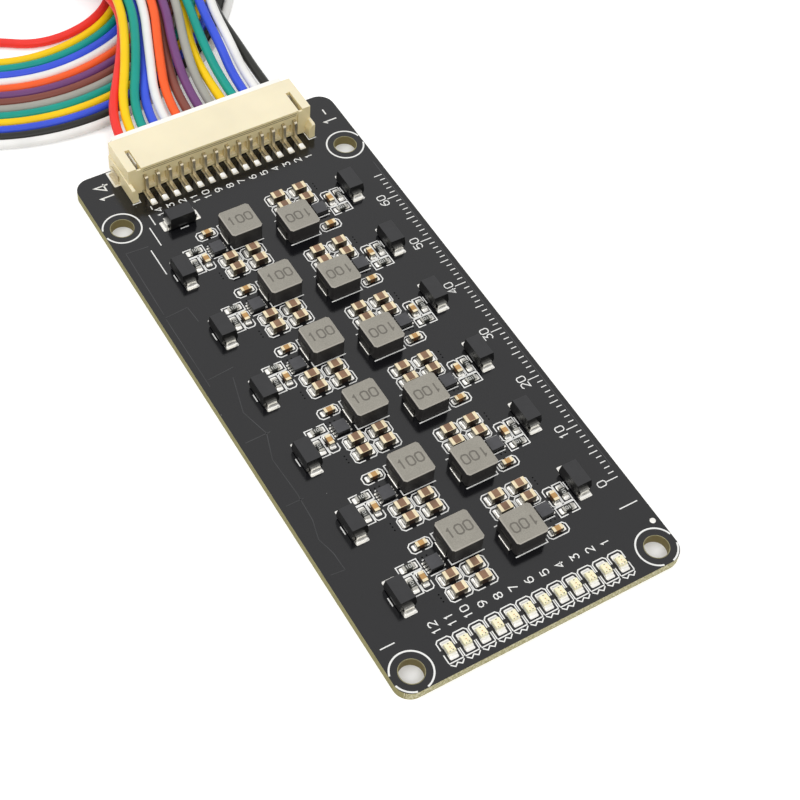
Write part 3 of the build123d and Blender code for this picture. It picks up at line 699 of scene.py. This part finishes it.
class BALANCER_OT_header(bpy.types.Operator):
    """Finish the moulded header, its bent pins, its tabs and the seated plug"""

    bl_idname = "balancer.header"
    bl_label = "Header and plug"

    def execute(self, context):
        # Undyed nylon 66, moulded: cream, satin, and light sinks in a little before it comes back; the deeper
        # yellow on its upright walls is painted shade
        nylon = grained("nylon_66_moulded_cream", "#EFE4C4", 0.42, ior=1.53,
                        grain=0.35, patch=6.0, tint=0.03, side="#EFDFAE", rim="#EFE4C4",
                        sunk=(0.12, (1.0, 0.8, 0.5), 0.6))
        dress(nylon, "header_housing")
        # Whitened nylon 66 from a cleaner mould: the same satin, cooler and a little brighter
        plug = grained("nylon_66_moulded_white", "#FAF8F2", 0.4, ior=1.53,
                       grain=0.35, patch=6.0, tint=0.03, sunk=(0.12, (1.0, 0.9, 0.7), 0.6))
        dress(plug, "plug_housing")
        # Tin over brass, drawn to square wire: a soft metal shine, its slight yellow a painted reflection of
        # the cream nylon
        pins = grained("tinned_brass_drawn", "#CFC5AC", 0.38, metallic=1.0,
                       grain=0.2, depth=0.002, patch=1.0)
        dress(pins, "header_pins", "header_solder_tabs", "plug_terminals")
        # Painted shadow: dark lines along the lower edge of the two steps under the header's top
        lines = Builder()
        lines.stand(LAYOUT_X)
        for y, z in ((43.45, 6.55), (43.625, 6.0)):
            lines.slab(-13.3, y - 0.012, 13.3, y + 0.01, z + 0.01, z + 0.13)
        painted_step_shadow = grained("nylon_step_painted_shadow", "#8E8159", 0.6, depth=0.003, patch=4.0, tint=0.2)
        lines.finish("header_step_shadow_lines", painted_step_shadow)
        return {"FINISHED"}


class BALANCER_OT_inductors(bpy.types.Operator):
    """Finish the inductors and mark each with a plain number"""

    bl_idname = "balancer.inductors"
    bl_label = "Inductors"

    def execute(self, context):
        # Iron powder in resin, pressed: stone grey top with a fine speckle, a painted highlight on the rim,
        # painted shade on the sides
        powder = grained("pressed_iron_powder", "#928E84", 0.6,
                         grain=0.16, depth=0.008, patch=2.5, tint=0.04, speckle=0.1,
                         side="#262423", rim="#AEA99F")
        dress(powder, *[f"inductor_{i:02d}" for i in range(1, 13)])
        # Tinned strip bent under the block: its dull dark colour is painted shade
        strip = grained("tinned_copper_strip", "#5C5A55", 0.45, metallic=1.0, grain=0.2, patch=1.0)
        dress(strip, "inductor_terminals")
        ink = Builder()
        top = BOARD_TOP + INDUCTOR_HEIGHT
        for place in cells():
            number(ink, "100", -4.1, 1.7, 1.5, 0, 0.24, top, top + 0.012, place)
        # Ink from a soft pad: a matt darker grey that soaks into the pressed face
        shade = grained("pad_print_grey_ink", "#68645C", 0.6, grain=0.15, patch=1.0)
        ink.finish("inductor_numbers", shade)
        return {"FINISHED"}


class BALANCER_OT_chips(bpy.types.Operator):
    """Finish the controller chips, diodes, capacitors and resistors"""

    bl_idname = "balancer.chips"
    bl_label = "Chips"

    def execute(self, context):
        # Filled epoxy from an eroded mould: a matt dark grey top; its near black sides are painted shade
        epoxy = grained("moulded_epoxy_black_matt", "#424245", 0.45,
                        grain=0.14, depth=0.006, patch=1.2, tint=0.12, side="#101011", rim="#424245")
        dress(epoxy, *[f"controller_{i:02d}" for i in range(1, 13)])
        # The same epoxy from a polished mould: blacker, with a satin gleam; painted shade on its sides, a
        # faint painted highlight on its sloped edge
        diode = grained("moulded_epoxy_black_satin", "#242426", 0.34,
                        grain=0.2, depth=0.006, patch=1.2, tint=0.1, side="#0A0A0A", rim="#2A2A2B")
        dress(diode, "diode_bodies")
        # Plated tin on stamped copper: bright and smooth
        leads = grained("tinned_copper_lead", "#EBE9E2", 0.25, metallic=1.0,
                        grain=0.2, depth=0.003, patch=1.0)
        dress(leads, "controller_leads", "diode_leads")
        # Fired titanate ceramic: warm grey-brown with a low gloss, each block its own shade; the darker sides
        # are painted shade
        brown = grained("barium_titanate_ceramic_brown", "#84634A", 0.4,
                        grain=0.1, patch=2.6, tint=0.25, side="#34241A", rim="#84634A")
        dress(brown, "large_capacitor_bodies")
        # Tumbling rounds the ceramic's edges; the pale line on the edge toward the lights' end is a painted
        # highlight of that edge
        rims = Builder()
        top = BOARD_TOP + LARGE_CAPACITOR_HEIGHT
        for i, place in enumerate(cells()):
            edge = 0.61 if i % 2 else -0.61
            for x, y in LARGE_CAPACITORS:
                rims.stand(x, y, 0, place)
                rims.slab(-0.5, edge - 0.04, 0.5, edge + 0.04, top, top + 0.01)
        pale = grained("ceramic_edge_painted_highlight", "#DCC49A", 0.35, grain=0.1, depth=0.003, patch=0.8)
        rims.finish("capacitor_edge_highlights", pale)
        # A titanate fired lighter: golden tan; its darker sides are painted shade
        golden = grained("barium_titanate_ceramic_golden", "#B98E54", 0.4,
                         grain=0.1, patch=2.6, tint=0.15, side="#5A3A1C", rim="#B98E54")
        dress(golden, "small_capacitor_bodies")
        # Black glaze fired over the resistor's film: smooth and glassy
        film = grained("glazed_alumina_black", "#34352F", 0.3, grain=0.2, depth=0.003, patch=0.8)
        dress(film, "resistor_bodies")
        # Tiny plain numerals on the resistors show as pale flecks
        flecks = Builder()
        top = BOARD_TOP + RESISTOR_HEIGHT
        for place in cells():
            for x, y, turn in RESISTORS:
                number(flecks, "10", x, y, 0.46, turn, 0.09, top, top + 0.008, place)
        white = grained("screen_print_glaze_white", "#C9C9C4", 0.5, grain=0.1, depth=0.002, patch=0.8)
        flecks.finish("resistor_numbers", white)
        # Dipped and fired end metal: pale, half dull, with a wavy face; the darker sides are painted shade
        ends = grained("fired_tin_end_cap", "#EFE0BC", 0.36, metallic=0.5,
                       grain=0.12, depth=0.008, patch=0.7, tint=0.1, side="#5A523E", rim="#EFE0BC")
        dress(ends, "large_capacitor_ends", "small_capacitor_ends")
        # Plated tin on the resistors' thin ends: grey and brighter
        tin = grained("plated_tin_end_cap", "#BDBBB3", 0.3, metallic=1.0, grain=0.12, depth=0.006, patch=0.7)
        dress(tin, "resistor_ends")
        return {"FINISHED"}


class BALANCER_OT_lights(bpy.types.Operator):
    """Finish the row of indicator lights"""

    bl_idname = "balancer.lights"
    bl_label = "Indicator lights"

    def execute(self, context):
        # Whitened resin laminate: plain matt white
        base = grained("white_light_base_resin", "#E4E3DA", 0.5, grain=0.2, depth=0.003, patch=0.8)
        dress(base, "led_bases")
        # Fired silver at the ends: white metal, more chalky than mirror-like
        silver = grained("fired_silver_end", "#F6F4EC", 0.4, metallic=0.4, grain=0.12, patch=0.7, tint=0.04)
        dress(silver, "led_ends")
        # Cast epoxy with phosphor in it: cloudy pale yellow that light sinks into, under a clear gloss
        resin = grained("cloudy_epoxy_lens", "#F3ECC8", 0.25, ior=1.52,
                        depth=0.003, patch=0.6, tint=0.05, sunk=(0.25, (0.6, 0.5, 0.2), 0.4))
        dress(resin, "led_lenses")
        # Die and frame edges show through the resin as small spots, amber and dull grey
        low = BOARD_TOP + LIGHT_HEIGHT
        dies = Builder()
        frames = Builder()
        for i in range(LIGHT_COUNT):
            for builder, spots in ((dies, ((0.02, 0.0, 0.1), (0.08, -0.3, 0.07))),
                                   (frames, ((-0.3, -0.55, 0.09), (0.22, -0.5, 0.11), (0.0, 0.52, 0.1)))):
                builder.stand(light_x(i), LIGHT_Y)
                for x, y, half in spots:
                    builder.slab(x - half, y - half * 0.7, x + half, y + half * 0.7, low, low + 0.006,
                                 half * 0.3)
        amber = grained("phosphor_over_die", "#C9954A", 0.3, grain=0.1, depth=0.001, patch=0.5)
        dies.finish("light_dies", amber)
        iron = grained("lead_frame_seen_through_resin", "#6E6950", 0.35, grain=0.1, depth=0.001, patch=0.5)
        frames.finish("light_frames", iron)
        return {"FINISHED"}


# ---- harness ----

WIRE_COLOURS = (
    ("red", "#F03A33"), ("yellow", "#FCCD0C"), ("green", "#149A8B"), ("blue", "#3D58DA"),
    ("white", "#ECEBE8"), ("orange", "#F9622A"), ("brown", "#834B40"), ("purple", "#74467A"),
    ("grey", "#A3A299"), ("yellow", "#FCCD0C"), ("green", "#149A8B"), ("blue", "#3D58DA"),
    ("white", "#ECEBE8"), ("black", "#2E2E2B"),
)
# Wires that lie under the others where the bundle is narrow, and the order of the lanes in the loop
LOWER_WIRES = (0, 3, 6, 9, 13)
LANE_ORDER = (0, 1, 2, 3, 4, 5, 7, 6, 8, 10, 9, 11, 13, 12)
# Seats across the bundle in mm: at the plug, where it gathers and where it is narrowest
PLUG_SEATS = [from_middle(i, PIN_COUNT) * PIN_PITCH for i in range(PIN_COUNT)]
GATHER_SEATS = (-10.4, -9.35, -7.65, -6.45, -5.65, -4.15, -3.0, -1.8, 0.1, 1.45, 3.2, 5.75, 7.5, 9.35)
BUNCH_SEATS = (-7.25, -7.45, -5.7, -4.75, -3.85, -2.1, -1.2, -0.35, 1.55, 2.4, 3.3, 5.05, 6.8, 7.5)


def lane_seats(pitch, first_out=0.0):
    """Seats in the flat loop, with the first wire lying that much further out."""
    seats = [from_middle(LANE_ORDER.index(i), PIN_COUNT) * pitch for i in range(PIN_COUNT)]
    seats[0] -= first_out
    return seats


# Middle line of the bundle in mm: x, y, heading in degrees, seats across, upper and lower height
WIRE_STATIONS = (
    (LAYOUT_X, 50.0, 90, PLUG_SEATS, 4.9, 4.9),
    (LAYOUT_X, 56.4, 90, PLUG_SEATS, 4.9, 4.9),
    (4.3, 64.6, 73, GATHER_SEATS, 7.0, 5.3),
    (6.8, 76.0, 66, BUNCH_SEATS, 7.0, 5.3),
    (8.6, 89.0, 92, lane_seats(1.6), 7.0, 5.3),
    (5.0, 104.0, 112, lane_seats(1.65), 5.6, 5.6),
    (-6.0, 117.2, 150, lane_seats(1.65), 0.8, 0.8),
    (-22.2, 120.0, 190, lane_seats(1.65), 0.8, 0.8),
    (-36.4, 111.8, 230, lane_seats(1.65), 0.8, 0.8),
    (-42.5, 96.0, 270, lane_seats(1.65), 0.8, 0.8),
    (-38.0, 81.6, 306, lane_seats(1.65, 1.5), 0.8, 0.8),
    (-26.0, 72.5, 342, lane_seats(1.6, 4.5), 0.8, 0.8),
    (-11.7, 70.0, 367, lane_seats(1.6, 1.0), 0.8, 0.8),
    (4.2, 74.9, 394, lane_seats(1.6), 0.8, 0.8),
    (14.0, 87.5, 420, lane_seats(1.6), 0.8, 0.8),
    (19.5, 97.0, 420, lane_seats(1.6), 0.8, 0.8),
)


def wire_points(i):
    """Control points of one wire in metres, from its sleeve to its free end."""
    points = []
    for x, y, heading, seats, upper, lower in WIRE_STATIONS:
        across = math.radians(heading - 90)
        height = lower if i in LOWER_WIRES else upper
        points.append((MM * (x + seats[i] * math.cos(across)), MM * (y + seats[i] * math.sin(across)),
                       MM * height))
    return points


class BALANCER_OT_harness(bpy.types.Operator):
    """Lay the fourteen wires of the harness as smooth curves"""

    bl_idname = "balancer.harness"
    bl_label = "Harness"

    def execute(self, context):
        diameter = context.scene.balancer_harness.wire_diameter
        shades = {}
        for i, (colour, shade) in enumerate(WIRE_COLOURS):
            if colour not in shades:
                # Soft vinyl jacket, extruded: strong colour, satin, with a faint waver along it
                shades[colour] = grained(
                    f"extruded_vinyl_{colour}", shade, 0.36, ior=1.53, grain=0.5, depth=0.006, patch=5.0,
                    tint=0.05, sunk=(0.05, (1.0, 1.0, 1.0), 0.3), specular=0.22)
            points = wire_points(i)
            curve = bpy.data.curves.new(f"wire_jacket_{i + 1:02d}", "CURVE")
            curve.dimensions = "3D"
            curve.resolution_u = 12
            curve.bevel_depth = diameter / 2
            curve.bevel_resolution = 5
            curve.use_fill_caps = True
            line = curve.splines.new("NURBS")
            line.points.add(len(points) - 1)
            for point, place in zip(line.points, points):
                point.co = (*place, 1)
            line.order_u = 3
            line.use_endpoint_u = True
            line.use_smooth = True
            wire = bpy.data.objects.new(f"wire_jacket_{i + 1:02d}_{colour}", curve)
            context.scene.collection.objects.link(wire)
            curve.materials.append(shades[colour])
            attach(wire, "root")
            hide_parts(f"wire_{i + 1:02d}_{colour}")
        return {"FINISHED"}


# ---- stage ----

# The camera fitted to the photograph: place in metres, turn in degrees, focal length in mm
CAMERA_PLACE = (-0.084373, -0.126764, 0.196588 + BOARD_TOP * MM)
CAMERA_TURN = (36.3029, -3.86879, -30.85746)
CAMERA_LENS = 77.092


def softbox(scene, name, width, height, power, spot):
    """A rectangular lamp at a spot in metres, turned to the board's middle."""
    lamp = bpy.data.lights.new(name, "AREA")
    lamp.shape = "RECTANGLE"
    lamp.size = width
    lamp.size_y = height
    lamp.energy = power
    stand = bpy.data.objects.new(name, lamp)
    stand.location = spot
    stand.rotation_euler = (-Vector(spot)).to_track_quat("-Z", "Y").to_euler()
    scene.collection.objects.link(stand)


class BALANCER_OT_stage(bpy.types.Operator):
    """Set up the paper floor, the soft light and the camera"""

    bl_idname = "balancer.stage"
    bl_label = "Stage"

    def execute(self, context):
        scene = context.scene
        settings = scene.balancer_stage
        scene.view_settings.view_transform = "Standard"
        # Floor: matt paper that the camera sees as white, with the object's shadow on it
        mesh = bpy.data.meshes.new("paper_floor")
        reach = 4.0
        corners = [(-reach, -reach, 0), (reach, -reach, 0), (reach, reach, 0), (-reach, reach, 0)]
        mesh.from_pydata(corners, [], [(0, 1, 2, 3)])
        floor = bpy.data.objects.new("paper_floor", mesh)
        scene.collection.objects.link(floor)
        paper = bpy.data.materials.new("matt_white_paper")
        paper.use_nodes = True
        tree = paper.node_tree
        shader = tree.nodes["Principled BSDF"]
        shader.inputs["Base Color"].default_value = (*settings.floor_colour, 1)
        shader.inputs["Roughness"].default_value = 0.9
        shader.inputs["Emission Color"].default_value = (1, 1, 1, 1)
        # The whitening stops under the board, so the floor in its holes keeps its own shade
        place = add_node(tree, "ShaderNodeTexCoord").outputs["Object"]
        outside = add_node(tree, "ShaderNodeMath", {"operation": "MULTIPLY"}, {
            0: seen_background(tree), 1: beyond_outline(tree, place, 1.2)})
        whitening = add_node(tree, "ShaderNodeMath", {"operation": "MULTIPLY"}, {
            0: outside.outputs[0], 1: 0.3})
        tree.links.new(whitening.outputs[0], shader.inputs["Emission Strength"])
        mesh.materials.append(paper)
        # World: plain light that is strongest overhead, and white where it is seen
        world = bpy.data.worlds.new("studio")
        scene.world = world
        world.use_nodes = True
        tree = world.node_tree
        sky = tree.nodes["Background"]
        sky.inputs["Color"].default_value = (1, 1, 1, 1)
        rise = add_node(tree, "ShaderNodeSeparateXYZ", inputs={
            "Vector": add_node(tree, "ShaderNodeTexCoord").outputs["Generated"]})
        level = add_node(tree, "ShaderNodeMapRange", inputs={
            "Value": rise.outputs["Z"], "To Min": settings.horizon_strength, "To Max": settings.sky_strength})
        strength = add_node(tree, "ShaderNodeMix", {"data_type": "FLOAT"}, {
            0: seen_background(tree), 2: level.outputs["Result"], 3: 1.0})
        tree.links.new(strength.outputs[0], sky.inputs["Strength"])
        # Key lamp above the far left, out of the mask's mirror direction, and a fill at the near side
        softbox(scene, "key_softbox", 0.4, 0.4, settings.key_power, (-0.52, 0.30, 0.65))
        softbox(scene, "fill_softbox", 0.3, 0.2, settings.fill_power, (-0.10, -0.45, 0.50))
        # Camera at the photograph's viewing angle, on a 36 mm frame
        lens = bpy.data.cameras.new("camera")
        lens.lens = CAMERA_LENS
        lens.sensor_width = 36.0
        lens.clip_start = 0.01
        camera = bpy.data.objects.new("camera", lens)
        camera.location = CAMERA_PLACE
        camera.rotation_euler = [math.radians(a) for a in CAMERA_TURN]
        scene.collection.objects.link(camera)
        scene.camera = camera
        return {"FINISHED"}


class BALANCER_PT_panel(bpy.types.Panel):
    """Lists the steps that dress the board"""

    bl_label = "Active balancer board"
    bl_space_type = "VIEW_3D"
    bl_region_type = "UI"
    bl_category = "Balancer"

    def draw(self, context):
        layout = self.layout
        for name in ("balancer_board", "balancer_harness", "balancer_stage"):
            group = getattr(context.scene, name)
            for prop in group.__annotations__:
                layout.prop(group, prop)
        for operator in OPERATORS:
            layout.operator(operator.bl_idname)


OPERATORS = (
    BALANCER_OT_stage, BALANCER_OT_board, BALANCER_OT_header, BALANCER_OT_inductors, BALANCER_OT_chips,
    BALANCER_OT_lights, BALANCER_OT_printed_marks, BALANCER_OT_solder, BALANCER_OT_harness,
)
CLASSES = (BoardSettings, HarnessSettings, StageSettings, *OPERATORS, BALANCER_PT_panel)


def register():
    for cls in CLASSES:
        bpy.utils.register_class(cls)
    bpy.types.Scene.balancer_board = PointerProperty(type=BoardSettings)
    bpy.types.Scene.balancer_harness = PointerProperty(type=HarnessSettings)
    bpy.types.Scene.balancer_stage = PointerProperty(type=StageSettings)


def unregister():
    del bpy.types.Scene.balancer_stage
    del bpy.types.Scene.balancer_harness
    del bpy.types.Scene.balancer_board
    for cls in reversed(CLASSES):
        bpy.utils.unregister_class(cls)


def main():
    register()
    bpy.ops.balancer.stage()
    bpy.ops.balancer.board()
    bpy.ops.balancer.header()
    bpy.ops.balancer.inductors()
    bpy.ops.balancer.chips()
    bpy.ops.balancer.lights()
    bpy.ops.balancer.printed_marks()
    bpy.ops.balancer.solder()
    bpy.ops.balancer.harness()


if __name__ == "__main__":
    main()
